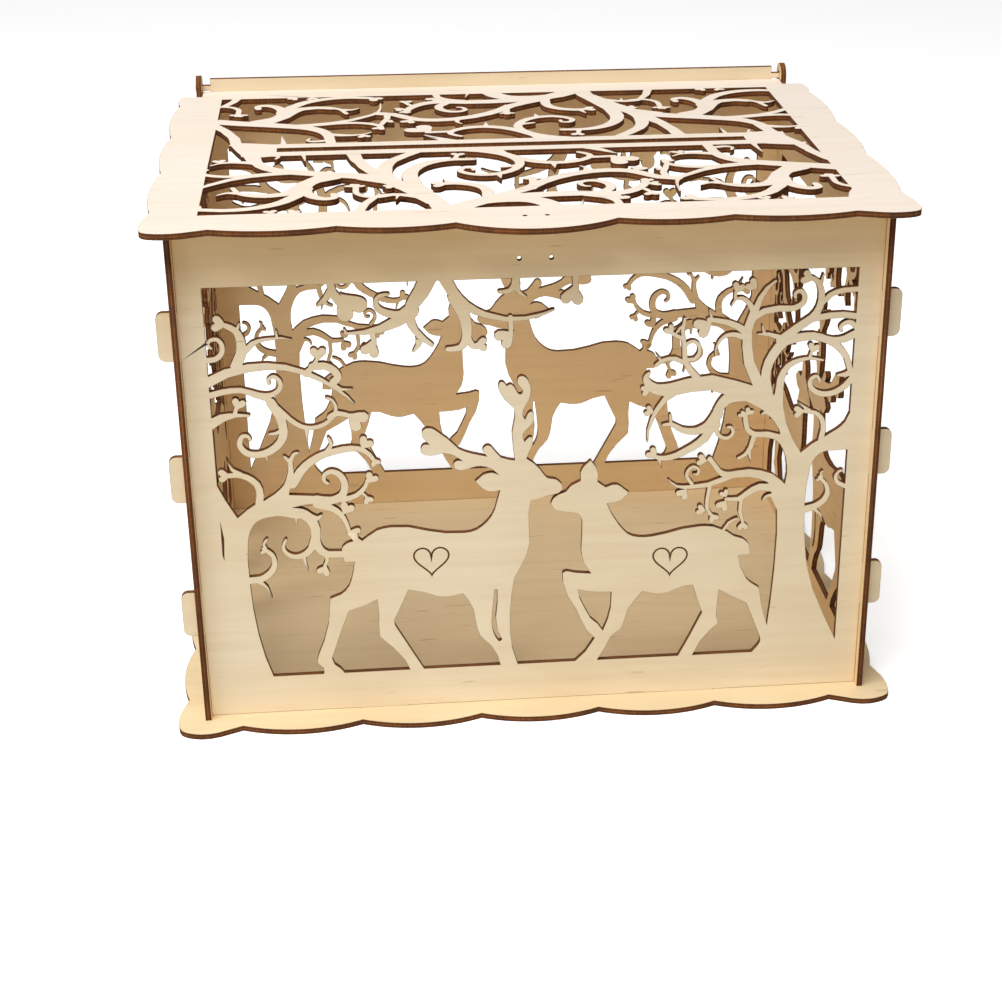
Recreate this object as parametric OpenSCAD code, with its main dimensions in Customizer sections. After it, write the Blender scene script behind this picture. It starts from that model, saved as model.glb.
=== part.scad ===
// Wedding card box: seven laser-cut plywood pieces, hinged lid, woodland fretwork.
// Origin: middle of the underside of the base. +Z up, -Y is the front.

/* [Body] */
// Thickness of the plywood
ply = 2.5; // [2:0.1:3.2]
// Width over the two side panels
body_w = 283; // [278:1:340]
// Depth between the outer faces of the front and back panels
body_d = 211.6; // [200:0.2:255]
// Height of the top edge of the side panels
wall_top = 216; // [212:1:260]

/* [Base] */
// Length that the base reaches past the front panel at the bottom of a scallop
base_reach = 10; // [7:0.1:12]
// Length that the base reaches past a side panel at the bottom of a scallop
base_side_reach = 8; // [6:0.1:12]
// Depth of the base scallops
base_scallop = 5.4; // [2:0.1:7]
// Number of equal scallops along the front
base_lobes = 5; // [3:1:9]

/* [Lid] */
// Length that the lid reaches past a side panel at the bottom of a scallop
lid_side_reach = 8.5; // [7:0.1:16]
// Length that the lid reaches past the front panel at the bottom of a scallop
lid_reach = 11.2; // [9:0.1:16]
// Depth of the plain lid scallops
lid_scallop = 4; // [2:0.5:6]
// Depth of the wide scallop in the middle of the front
lid_lip = 11; // [6:0.5:14]
// Length of the card slot
slot_l = 202; // [150:1:206]
// Width of the card slot
slot_w = 6.2; // [4:0.1:8]

/* [Hinge] */
// Height of the pivot above the side panels
pivot_rise = 4.3; // [3.6:0.1:6]
// Radius of the ears that carry the pivot
ear_r = 5.7; // [5.2:0.1:8]
// Gap round a pin in its hole
pin_gap = 0.07; // [0.05:0.01:0.1]
// Height of the hinge bar above the lid
bar_rise = 6; // [4.8:0.1:8]
// Length of bare pin between the hinge bar and an ear
pin_bare = 4; // [2:0.1:8]

/* [Fretwork] */
// Width of a laser cut
kerf = 0.1; // [0:0.05:0.2]
// Depth of the engraved hearts
engraving = 0.4; // [0.2:0.1:1]
// Width of the engraved line
groove_w = 0.5; // [0.4:0.05:1]

/* [Hidden] */
eps = 0.01;
slip = 0.1;
bend_step = 15;

face_colour = [0.93, 0.82, 0.64];

// The walls
panel_w = body_w - 2 * ply;
panel_front = -body_d / 2;
side_front = panel_front - 4.2;
window_half = 129;
window_low = 20;
window_high = 192;
side_window_half = 93;
side_drop = 7;

// The tabs
tab_h = 20.4;
tab_pitch = 60.7;
tab_low = 51.2;
tab_reach = 6;
tab_round = 3;
foot_w = 20.4;
foot_x = 66;
foot_y = 55;
tab_gap = 0.05;

// The hinge
pivot_y = body_d / 2 + 3.1;
pivot_z = wall_top + pivot_rise;
pin_half = ply / 2;
pin_hole_r = pin_half * sqrt(2) + pin_gap;
side_rear = pivot_y + ear_r;

// The lid
lid_low = wall_top + slip;
lid_rear = pivot_y - ear_r - 6.1;
tongue_rear = pivot_y - ply / 2;
tongue_half = panel_w / 2 - 0.4;
bar_half = panel_w / 2 - pin_bare;
lid_front = panel_front - lid_reach;
fret_mid = -3.5;
fret_far = 94.5;
bar_w = 6.7;
lid_window_half = 128.8;

// The screw holes for a hasp
hasp_hole_r = 0.9;
panel_hasp_pitch = 12.6;
panel_hasp_z = wall_top - 16;
lid_hasp_pitch = 8.6;
lid_hasp_y = lid_front + 6.4;

// ---------- Curves ----------

// One point of a smooth curve through b and c, between the neighbours a and d
function blend(a, b, c, d, t) =
    0.5 * (2 * b + (c - a) * t + (2 * a - 5 * b + 4 * c - d) * t * t
    + (3 * b - a - 3 * c + d) * t * t * t);

// The angle between two directions
function turn(u, v) = acos(max(-1, min(1, u * v / max(norm(u) * norm(v), eps))));

// The number of straight steps from b to c, more where the curve bends more
function steps(a, b, c, d) = max(1, ceil((turn(c - a, c - b) + turn(c - b, d - b)) / bend_step));

// A smooth curve through the points, without its last point
function smooth(points) = len(points) < 3 ? [points[0]] :
    [for (i = [0 : len(points) - 2])
        let (
            a = points[max(i - 1, 0)],
            b = points[i],
            c = points[i + 1],
            d = points[min(i + 2, len(points) - 1)],
            count = steps(a, b, c, d)
        )
        for (k = [0 : count - 1])
            blend(a, b, c, d, k / count)];

// A smooth curve with its last point
function path(points) = concat(smooth(points), [points[len(points) - 1]]);

// A closed outline made of smooth sections that meet at corners
function joined(sections) = [for (s = sections) each smooth(s)];

function unit(v) = v / max(norm(v), eps);

// The direction to the left of a path at its point i
function left_of(line, i) =
    let (v = unit(line[min(i + 1, len(line) - 1)] - line[max(i - 1, 0)]))
    [-v[1], v[0]];

// A branch along the points, narrowing evenly from one width to the other
module branch(points, from, to) {
    line = path(points);
    last = len(line) - 1;
    half = [for (i = [0 : last]) (from + (to - from) * i / last) / 2];
    left = [for (i = [0 : last]) line[i] + left_of(line, i) * half[i]];
    right = [for (i = [last : -1 : 0]) line[i] - left_of(line, i) * half[i]];
    polygon(concat(left, right));
    translate(line[0])
        circle(d = from, $fn = 8);
    translate(line[last])
        circle(d = to, $fn = to > 1.5 ? 10 : 6);
}

// A heart with its point at the origin, opening along +X
function heart(size) = [for (a = [0 : size > 12 ? 10 : 20 : 359])
    size / 32 * [17 + 13 * cos(a) - 5 * cos(2 * a) - 2 * cos(3 * a) - cos(4 * a),
        16 * pow(sin(a), 3)]];

// A heart-shaped leaf that grows from a point towards an angle
module leaf(point, angle, size) {
    translate(point)
        rotate(angle)
            polygon(heart(size));
}

// Joins shapes, closes gaps too fine to cut and takes off the kerf
module cut_out() {
    offset(delta = -0.2 - kerf / 2)
        offset(delta = 0.2)
            children();
}

// ---------- The buck ----------

buck_shape = joined([
    [[-80, 72], [-80.8, 77.3], [-79.5, 80], [-76, 81.6], [-72.5, 81.3]],
    [[-72.5, 81.3], [-70, 83.3], [-66, 86], [-60, 87.2], [-53, 86.9], [-45, 84.8], [-38, 83.4],
        [-30, 83.1], [-25, 84.3], [-20.5, 88], [-17.5, 93], [-15.2, 101.5]],
    [[-15.2, 101.5], [-19, 101], [-22.5, 102.7], [-25.3, 106]],
    [[-25.3, 106], [-22, 108.9], [-18, 109.7], [-15, 108.2]],
    [[-15, 108.2], [-18.5, 111.3], [-23, 112.7], [-27, 112], [-30.5, 111], [-33.5, 112.2],
        [-33.8, 114.6], [-32, 115.7], [-30, 115.3]],
    [[-30, 115.3], [-34, 118], [-38, 119], [-42, 118.2], [-45.8, 118.8], [-47, 121],
        [-45.8, 123.2], [-43.5, 123.2]],
    [[-43.5, 123.2], [-45.9, 126], [-46.2, 129], [-44, 130.4], [-41, 129.6], [-36, 125.5],
        [-31.5, 120.8], [-26, 118.5], [-20.3, 117]],
    [[-20.3, 117], [-22, 119.4], [-20.8, 121.6], [-18.3, 121.2], [-14.5, 116.3], [-9, 114.8]],
    [[-9, 114.8], [-9.6, 121], [-10, 127], [-8.9, 133], [-9.2, 137.5], [-13, 141.5],
        [-15.2, 146], [-14.7, 148.8], [-13, 149], [-11.8, 147.3]],
    [[-11.8, 147.3], [-10.2, 148], [-8.6, 146.6], [-7.3, 144], [-6, 143.6], [-5.6, 145.2],
        [-7.5, 148], [-7.2, 150.6], [-5.2, 151.3], [-3, 149.2], [-2, 145], [-3, 140.5],
        [-5, 137], [-5.3, 134.2], [-4.5, 132.6]],
    [[-4.5, 132.6], [-3.5, 135], [-1.9, 135.9], [-0.8, 134], [-1.4, 130.8], [-3.6, 128.2],
        [-5.4, 126], [-4.8, 122.8]],
    [[-4.8, 122.8], [-3.3, 124.6], [-1.6, 124.4], [-1.6, 121], [-3, 118], [-4, 115.3]],
    [[-4, 115.3], [-1, 113], [1.5, 110.3], [4.2, 106.5], [8, 105.5], [10.3, 103.2], [10.8, 101]],
    [[10.8, 101], [8.8, 99], [4.5, 98.2], [1, 96.8], [-2.3, 96.3]],
    [[-2.3, 96.3], [-3.3, 91], [-3.2, 84], [-3, 77], [-4.4, 71.3], [-7, 66], [-9.6, 60.8],
        [-10.7, 54], [-11.6, 45], [-11.6, 36], [-10.8, 28], [-8.3, 19]],
    [[-8.3, 19], [-15.9, 19]],
    [[-15.9, 19], [-17.3, 24.5], [-20, 29.5], [-24.5, 34.5], [-26.3, 41], [-27.1, 47],
        [-29, 51.3], [-31.3, 54.8]],
    [[-31.3, 54.8], [-36, 53.8], [-42, 54], [-48, 56.5], [-54, 57.8]],
    [[-54, 57.8], [-56.5, 52], [-60.2, 44], [-59.5, 40.5]],
    [[-59.5, 40.5], [-48, 19]],
    [[-48, 19], [-54.2, 19]],
    [[-54.2, 19], [-56.5, 24.5], [-61, 30.5], [-66.7, 36.3]],
    [[-66.7, 36.3], [-67, 42], [-66.7, 48], [-67.2, 54]],
    [[-67.2, 54], [-72, 51.5], [-79, 49.2]],
    [[-79, 49.2], [-82, 41.5], [-87, 27.3]],
    [[-87, 27.3], [-86, 24.2], [-83.5, 22], [-81.5, 19]],
    [[-81.5, 19], [-91.2, 19]],
    [[-91.2, 19], [-90.9, 22.5], [-93.3, 25.2], [-92.6, 29.5], [-90, 36], [-87.8, 44],
        [-86.6, 55.5]],
    [[-86.6, 55.5], [-82, 57.3], [-78.5, 61], [-76.6, 67], [-75.8, 72]],
    [[-75.8, 72], [-80, 72]],
]);

buck_slit = joined([
    [[-17.9, 56], [-17, 56]],
    [[-17, 56], [-17, 50], [-17.8, 43], [-17.2, 36.8], [-15.3, 32.2]],
    [[-15.3, 32.2], [-16.7, 31.7], [-18.6, 35.5], [-19.4, 41], [-18.8, 48], [-17.9, 56]],
]);

// ---------- The doe ----------

doe_shape = joined([
    [[5.7, 94.5], [6.7, 96.9], [9.3, 98.8], [12, 99.8], [14, 102.3], [18, 104.4]],
    [[18, 104.4], [17.9, 108], [19.5, 111], [22.2, 113.5]],
    [[22.2, 113.5], [24.3, 110.5], [25.4, 107], [25.2, 103.6]],
    [[25.2, 103.6], [28.5, 101]],
    [[28.5, 101], [31, 102], [33.8, 101.8], [36, 100], [38.3, 98.2]],
    [[38.3, 98.2], [35.5, 95], [32, 93.7], [29.2, 93.5]],
    [[29.2, 93.5], [31, 89], [34, 84], [38, 79.3], [42.5, 77.6], [48, 77.6], [54, 78.7],
        [61, 80.5], [68, 81.3], [74, 80.9], [80, 78.3]],
    [[80, 78.3], [83, 76]],
    [[83, 76], [86.5, 74.8], [89.5, 71.8], [90.3, 67]],
    [[90.3, 67], [85.2, 66.8]],
    [[85.2, 66.8], [86.3, 61.5], [89, 55.8], [92, 53], [94.8, 51]],
    [[94.8, 51], [95.8, 44.5], [97.2, 38.5], [98.8, 33]],
    [[98.8, 33], [104, 30]],
    [[104, 30], [104, 19]],
    [[104, 19], [91.8, 19]],
    [[91.8, 19], [94.3, 22], [96.1, 25], [95.4, 28.5], [92.5, 36], [89.3, 44]],
    [[89.3, 44], [83, 47.5], [77.3, 51]],
    [[77.3, 51], [76.8, 43], [76.7, 38.5], [77.7, 35]],
    [[77.7, 35], [74, 31.5], [70, 26.5], [66.3, 19]],
    [[66.3, 19], [60, 19]],
    [[60, 19], [65, 29], [70.3, 40.5]],
    [[70.3, 40.5], [67.8, 47.5], [66, 53.7]],
    [[66, 53.7], [62, 53.5], [56, 51], [50.5, 50.3], [44.5, 51.8]],
    [[44.5, 51.8], [41.5, 48], [38.7, 44], [37.2, 39], [35.5, 34.5], [31.5, 31.3],
        [29, 26], [25, 19]],
    [[25, 19], [15, 19]],
    [[15, 19], [20.3, 24.3], [24.2, 30.6]],
    [[24.2, 30.6], [20.8, 34.5], [18.2, 40], [16, 45.5], [12.6, 51.5], [10.7, 58], [10.5, 62.3]],
    [[10.5, 62.3], [12.3, 63.3], [16, 62.3], [22.5, 61.6]],
    [[22.5, 61.6], [19.5, 66.5], [18.3, 73], [18.6, 80], [18.7, 86], [17, 89.3], [12, 90.4],
        [7.5, 91.5], [5.7, 94.5]],
]);

doe_slit = joined([
    [[17.3, 54.3], [21, 53], [26, 52.5], [31.3, 52.3]],
    [[31.3, 52.3], [31, 45], [29.8, 39.5], [27.8, 34.2]],
    [[27.8, 34.2], [25.5, 37.7], [22.5, 40.5], [19.8, 46], [17.8, 50.5], [17.3, 54.3]],
]);

// ---------- The full tree, its trunk near x = 107 ----------

trunk_shape = joined([
    [[98.8, 33], [99.8, 45], [100.7, 60], [101.1, 76], [100.6, 87], [97.5, 93.5]],
    [[97.5, 93.5], [99, 98], [103, 96.5]],
    [[103, 96.5], [104, 103.5], [103.2, 111], [100.5, 117], [97, 120.5]],
    [[97, 120.5], [100.3, 121.9], [97, 128], [92.5, 133.6], [87.5, 136.6], [82, 137.2],
        [78.5, 140]],
    [[78.5, 140], [86, 142.8], [91, 140.3]],
    [[91, 140.3], [94, 141], [96.8, 139]],
    [[96.8, 139], [99, 141], [101, 141]],
    [[101, 141], [101.2, 134], [103, 126], [106, 119], [109.5, 113.1]],
    [[109.5, 113.1], [114, 116.8], [119, 119.7], [124, 122.8], [127.3, 126], [129.5, 131]],
    [[129.5, 131], [129.5, 113.3]],
    [[129.5, 113.3], [121, 113.2], [116.6, 111.2], [114, 106.5], [112.8, 98], [112.4, 88],
        [113, 76], [114.6, 62], [118, 49.5], [123.5, 36.5], [129.5, 23.5]],
    [[129.5, 23.5], [129.5, 19]],
    [[129.5, 19], [98.8, 19]],
    [[98.8, 19], [98.8, 33]],
]);

module tree_crown_left() {
    // Low limb, its twigs and hearts
    branch([[102.5, 96.4], [97, 102], [88, 104.6], [80, 104], [75.5, 106], [71.5, 111.8]], 5, 2.2);
    branch([[82, 104.3], [77, 102], [71, 100], [64, 99.4], [58, 100], [54.5, 103.2]], 3, 0.7);
    branch([[64.4, 100.8], [62.2, 104], [62.8, 107], [65, 108.4], [67.1, 107], [66.6, 105],
        [65.2, 105]], 1.8, 1.4);
    leaf([71, 110.5], 165, 5.5);
    leaf([62.5, 99], 235, 6);
    branch([[100, 97], [93, 98], [88, 95.5], [84, 92.9], [79, 93.2]], 4, 1.8);
    leaf([79.4, 93.6], 120, 4.5);
    leaf([79.2, 93], 240, 6);
    branch([[85.4, 94], [85, 87], [86.5, 82]], 2, 1.6);
    leaf([86.2, 83], 275, 5);
    branch([[72, 100], [71, 93], [71.3, 88.5], [74, 85]], 2, 1.6);
    leaf([71, 88], 165, 5);
    leaf([72.6, 87], 300, 5);
    branch([[100.5, 92.5], [98, 94], [95.5, 93.4], [94.6, 91.5]], 2, 1);
    // Big limb and its arms
    branch([[96, 135], [88, 139.5], [80, 142.5], [71, 145.3], [62, 144.5], [55, 143],
        [49, 143.2], [45.5, 145.7], [44.4, 148.6], [45.8, 150.6]], 8, 1.3);
    branch([[66, 146.5], [62.3, 151], [60, 156], [59.6, 162], [58.8, 168], [59.6, 173]], 3.2, 1.4);
    branch([[60.6, 154], [56, 156.2], [51.5, 155.7], [48.4, 153.6]], 2.2, 1.8);
    branch([[50, 156], [48.4, 158.6]], 1.4, 0.6);
    branch([[60.5, 155.6], [63.7, 155.6], [65.8, 158.3], [65.5, 161.6], [63.4, 163.2],
        [61, 162.6], [60, 161]], 2, 1.5);
    branch([[59.4, 164.3], [56.4, 165.8], [54.6, 167]], 2, 1.8);
    leaf([55.2, 166.4], 128, 5);
    branch([[59.2, 170], [57.6, 169], [56.3, 167.2]], 1.6, 1);
    branch([[57, 142.2], [52.5, 139], [49.3, 134.7], [47, 130], [45.6, 125.5], [45.4, 120.6]],
        3.2, 0.7);
    leaf([48.4, 133], 160, 5);
    leaf([46.8, 143.5], 195, 5);
    // Limb that bends down to the big curl
    branch([[86, 139.5], [79, 138.6], [75.2, 135], [73.3, 130.5], [74, 126.5]], 6, 3);
    branch([[73.6, 128], [74, 123.7], [76.3, 121], [79.2, 120.9], [80.8, 123], [80, 125.3],
        [78.5, 125.4]], 2, 1.5);
    branch([[74, 131.5], [70.5, 126.5], [65, 124.3], [59.5, 125.2], [55.5, 127.7], [51.8, 127.6]],
        5, 1.4);
    branch([[55, 127.5], [54.6, 132]], 1.6, 1.2);
    branch([[72.5, 127], [69, 121], [64, 117.2], [58, 114], [52.5, 112.8], [49, 113.6]], 4, 2);
    leaf([49.8, 113.3], 140, 5.6);
    branch([[50.5, 112.5], [51.5, 108.6]], 1.6, 0.5);
    // Twigs in the hollow
    branch([[101, 119.8], [95, 121.6], [90, 121.8], [86.6, 124.5], [85.6, 130]], 3, 2.2);
    leaf([85.6, 129.6], 140, 3.6);
    leaf([85.8, 130], 55, 4.4);
    branch([[89.6, 121], [88.3, 116], [86, 112.8], [83.3, 111.4]], 2.4, 1.4);
    branch([[87.6, 115], [88.6, 109.8]], 2.2, 0.6);
    branch([[96.5, 130], [94.2, 131.4], [92.4, 130.6]], 2.2, 1.2);
    // Upright arm with its leaves
    branch([[94, 137], [89.6, 145.5], [86.3, 153], [85.2, 160], [85, 167], [86.7, 172.5],
        [87.8, 176]], 5, 3.6);
    branch([[85, 163.6], [80.5, 165.4], [76.5, 165.2], [73.7, 162.8], [72.4, 159.3],
        [72.4, 156.6]], 2.6, 0.8);
    branch([[85.2, 166], [81, 168.9], [77, 170.7], [72.5, 171.7], [69.2, 172.3]], 3.4, 2);
    leaf([71, 171.4], 210, 8.8);
    branch([[70.4, 172.5], [69.3, 176.4]], 1.6, 0.6);
    branch([[87.3, 174.5], [85.6, 178], [82.6, 180.6], [79.6, 180.2], [78.1, 177.6]], 2.6, 0.8);
    branch([[79.6, 180.6], [79.6, 183.5]], 1.6, 1.4);
    leaf([79.6, 182.4], 68, 5.6);
    leaf([88.6, 184], 140, 6);
    branch([[87.9, 175.5], [89.8, 180.5], [92.3, 184.5], [95.6, 187.3]], 3, 1.4);
    branch([[87.6, 172.5], [91.5, 174.9], [97.5, 175.9], [103, 175.7], [106.9, 177.7],
        [107.6, 180.8], [105.9, 182.9], [103.8, 182], [103.9, 180.2]], 3, 1.5);
}

module tree_crown_right() {
    // Arm that carries the upper right limb
    branch([[95, 138], [93.3, 146], [94.3, 153], [98, 159.4], [101, 162.5]], 4, 4.4);
    branch([[98.5, 162.3], [105, 167.2], [111, 171.3], [114, 176], [114.4, 182], [112.6, 186.6],
        [109.6, 188.4]], 4, 2);
    leaf([111.2, 187.2], 158, 6.2);
    branch([[114, 186], [114.8, 189.6]], 1.6, 0.9);
    branch([[114.3, 177], [118, 180.8], [123, 182.6], [130, 183]], 2.4, 2.4);
    branch([[111, 171], [118, 172.1], [124, 172.3], [130, 171.4]], 3, 2.8);
    branch([[100, 163], [93.5, 165.2], [89.4, 165.3]], 2.8, 0.9);
    branch([[92, 165.4], [91, 169]], 1.8, 0.7);
    branch([[100, 161.8], [106, 163.2], [112, 163.7], [118, 161.8], [122.5, 158.8], [126.3, 154],
        [128, 148.5], [130, 146]], 4, 2.4);
    branch([[114, 163.5], [120, 161.8], [125, 162], [130, 164.4]], 2.4, 3.6);
    branch([[130, 166], [127.5, 168.8], [125, 168.9], [123, 167.3], [123.5, 165.4]], 2.4, 1.5);
    branch([[129.6, 148], [126, 146.6], [123, 146.4]], 3.6, 1.2);
    branch([[99, 139], [99.6, 146], [102.3, 151.2], [107, 153.6], [112, 154.2], [116.6, 153.2]],
        3.6, 1.2);
    branch([[111, 154.5], [111.7, 157]], 1.6, 1.4);
    leaf([111.4, 156], 70, 5.4);
    branch([[130, 146], [126.5, 141.8], [122.5, 139.2], [118.3, 138.4], [114.4, 139.5],
        [112, 142], [112, 145], [114.4, 146.4], [115.8, 144]], 3, 1.3);
    // Twig and leaf in the fork
    branch([[117.6, 118.5], [118.4, 123], [117.5, 127.4], [114.5, 130.4], [109.5, 131.3]], 2.6, 1.8);
    leaf([110.6, 131.4], 186, 5.6);
    branch([[112, 131.4], [107.2, 135.4]], 2, 0.5);
    // Twigs beside the trunk
    branch([[111.5, 86.8], [116, 87.8], [119.9, 90.2], [121.8, 94.2], [120.8, 98.2],
        [118.8, 100.4]], 3.4, 1.5);
    leaf([119.2, 99.8], 150, 3);
    branch([[119.3, 100], [118.5, 103], [119.4, 104]], 1.4, 1);
    branch([[116, 87.4], [119, 84.6], [120.3, 80.8]], 2, 0.6);
    branch([[130, 96.3], [126.2, 98.3], [124.8, 101], [126, 103.5], [127.6, 104]], 2.2, 1.3);
}

// ---------- The half tree at the left edge ----------

half_trunk_shape = joined([
    [[-129.5, 110], [-126, 102], [-121.9, 94.3]],
    [[-121.9, 94.3], [-118, 97.6], [-114.6, 99.9], [-111.5, 101]],
    [[-111.5, 101], [-106.5, 104.2], [-102.6, 108], [-100.8, 112]],
    [[-100.8, 112], [-98, 113.3], [-96.3, 111], [-99.8, 106.5], [-100.5, 103.6]],
    [[-100.5, 103.6], [-92, 102.9], [-86, 102]],
    [[-86, 102], [-86, 98.8], [-93, 98.9], [-99.8, 97.8]],
    [[-99.8, 97.8], [-97, 95], [-96.8, 92.4]],
    [[-96.8, 92.4], [-101, 93.6], [-106, 94.2], [-111.5, 93.4], [-115.7, 90.6], [-118.2, 84.5],
        [-119, 75], [-118.8, 64], [-118.2, 52], [-116.8, 40], [-114.6, 29], [-111.6, 19]],
    [[-111.6, 19], [-129.5, 19]],
    [[-129.5, 19], [-129.5, 110]],
]);

half_trunk_slit = joined([
    [[-129.6, 93], [-129.1, 93]],
    [[-129.1, 93], [-128.1, 85], [-128.6, 75.7]],
    [[-128.6, 75.7], [-129.4, 80], [-129.6, 93]],
]);

module half_tree() {
    // Top arc and what grows from it
    branch([[-130, 153], [-122, 156.8], [-113, 158.8], [-106, 159.2], [-99, 158.4],
        [-91, 155.8], [-85, 152.6], [-79, 148.3], [-75, 144.8], [-72.7, 142]], 4.4, 0.8);
    branch([[-91, 155.5], [-88, 158.5], [-86.3, 161.4]], 3, 1.6);
    leaf([-86, 160.3], 88, 6.8);
    branch([[-88.5, 158.4], [-84, 158.6], [-80.3, 156.7], [-78.6, 153.6], [-80.5, 151.5]], 3.2, 3.4);
    branch([[-81, 151], [-77.6, 148.4], [-73.2, 148.3]], 2.4, 0.8);
    branch([[-118.5, 158.5], [-115.8, 164.5], [-115.5, 170], [-117.3, 174.4], [-121, 176.6]],
        4.6, 2.4);
    leaf([-120, 176.6], 168, 7);
    branch([[-117, 173.6], [-115.6, 177.2]], 2, 1);
    branch([[-115, 165], [-111, 168.8], [-106, 170.4], [-100, 170.8], [-95.8, 169.9]], 2.8, 0.7);
    branch([[-101.4, 171], [-101.6, 173.8]], 1.4, 0.8);
    branch([[-130, 162.5], [-126, 162.8], [-123.3, 165], [-122.8, 168.4], [-124.4, 170.9],
        [-127, 170.8], [-128.2, 169], [-127, 167.4]], 2.6, 1.3);
    // Second limb with its two curls
    branch([[-130, 147.6], [-124, 149], [-117, 149.5], [-110, 147.3], [-105.5, 147], [-102, 149],
        [-101.3, 152.3], [-103.5, 154.8], [-105.9, 153.6], [-105.6, 151.8]], 2.8, 1.4);
    branch([[-112, 147.6], [-107, 145.6], [-103, 141.3], [-98.5, 136.4], [-94, 133.1],
        [-89.5, 132.4], [-85, 133.7], [-81.4, 136.8], [-80, 140.6], [-81.4, 144], [-83.6, 145]],
        2.6, 1.3);
    branch([[-92, 132.5], [-92.2, 126.6]], 2.4, 0.6);
    branch([[-82.5, 136.5], [-79.5, 138.2], [-74.5, 136.8]], 3, 2.2);
    leaf([-75.8, 138.3], -40, 9.8);
    branch([[-105.5, 144], [-102.4, 138], [-101.2, 131.5], [-102.8, 126.6], [-107, 123],
        [-112, 121.6], [-116.5, 122.7], [-118.8, 126], [-117.9, 129.5], [-115.6, 129.9],
        [-114.6, 128.2]], 4, 1.5);
    branch([[-102, 131.6], [-104.4, 130.6], [-106.8, 130.4]], 2, 1.3);
    branch([[-109, 122], [-108.4, 118.8]], 2, 0.8);
    // Third limb with a heart
    branch([[-130, 135.4], [-125, 138], [-119.5, 139], [-114.3, 138.7]], 4.6, 1.2);
    branch([[-120, 139], [-119, 142.4]], 2, 1.8);
    leaf([-119.2, 140.8], 70, 6);
    // Limb beside the trunk
    branch([[-113, 99], [-112.2, 104], [-113.2, 108.6], [-117, 112], [-121, 113.2],
        [-124.5, 113]], 3.4, 2.4);
    leaf([-123, 113.2], 182, 6);
    branch([[-119.5, 113.3], [-122.6, 115.6], [-124.3, 119.2]], 2.6, 0.6);
    // Twig with two buds
    branch([[-100.4, 109], [-99.3, 114], [-99.3, 119]], 3, 2);
    branch([[-99.5, 118], [-101.6, 120.4]], 2, 1.2);
    branch([[-99.3, 118], [-97.8, 121.2], [-96, 121.8]], 2, 1.2);
    // Long bow to the right with hearts
    branch([[-99, 108], [-95.5, 113.6], [-91, 117.9], [-85, 121], [-78, 122.6], [-72, 122.6],
        [-67.6, 119.8], [-65.6, 116.4]], 4, 1.8);
    leaf([-66.6, 118.4], -62, 4.6);
    leaf([-71.1, 122.2], 52, 6.6);
    branch([[-84.6, 121.6], [-82.6, 125], [-83.7, 127.8]], 2.4, 1.3);
    // Lower limb with a curl and hearts
    branch([[-90, 101], [-84, 100.2], [-79.3, 102.4], [-78.1, 107], [-79.6, 111], [-83, 113],
        [-86, 111.6], [-86.2, 109], [-84.7, 107.8]], 4, 1.4);
    branch([[-86, 100.4], [-79, 100.5], [-73.5, 102], [-69.8, 105.8], [-69, 108.5]], 3, 1.6);
    leaf([-69.1, 106.8], 55, 6);
    branch([[-72, 103.6], [-69.8, 101.6]], 1.6, 1.4);
    leaf([-70.2, 102], -62, 4.8);
    branch([[-90, 98.6], [-84.4, 97], [-80.5, 94], [-78.2, 89.5], [-77, 85]], 3.4, 1.8);
    leaf([-79.4, 93.4], 62, 6.6);
    leaf([-77.6, 86.5], -25, 5.6);
    branch([[-76.8, 85], [-75, 82.5], [-73, 81]], 3, 2);
    // Stem that reaches the rump of the buck
    branch([[-101, 95.6], [-96, 94.8], [-92.6, 92], [-90.9, 87.5], [-91, 82.5], [-89.6, 78.3],
        [-86, 75.9], [-79, 75.7]], 5, 3.2);
    branch([[-93, 93.4], [-90, 92.4], [-88, 94]], 3.6, 0.8);
    branch([[-91, 85], [-92.8, 79.3], [-96, 76.3], [-100, 75.5], [-103.5, 77.6], [-104.3, 80.6],
        [-103.1, 83.4]], 3.4, 1.3);
    branch([[-96.4, 76], [-95.7, 72], [-94.9, 69]], 2, 0.6);
    branch([[-87.4, 76.5], [-86.8, 73.4], [-88, 70.8]], 2, 1.6);
    leaf([-87.1, 71.4], 245, 6);
    branch([[-98.5, 94.5], [-98.4, 89.6]], 2, 0.6);
    // Small curl at the foot of the hollow
    branch([[-120, 65.4], [-114.6, 65.8], [-110.5, 68.4], [-108.3, 72.6], [-109.2, 77],
        [-112, 79.4]], 3.4, 1.8);
    leaf([-110.6, 78.2], 160, 3.6);
    branch([[-110.5, 77.5], [-112.2, 81.5], [-110.8, 84]], 1.6, 1.2);
    branch([[-115.4, 65], [-112, 61.9], [-110.4, 57]], 2.4, 0.6);
}

// ---------- Boughs that hang from the top edge ----------

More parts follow.
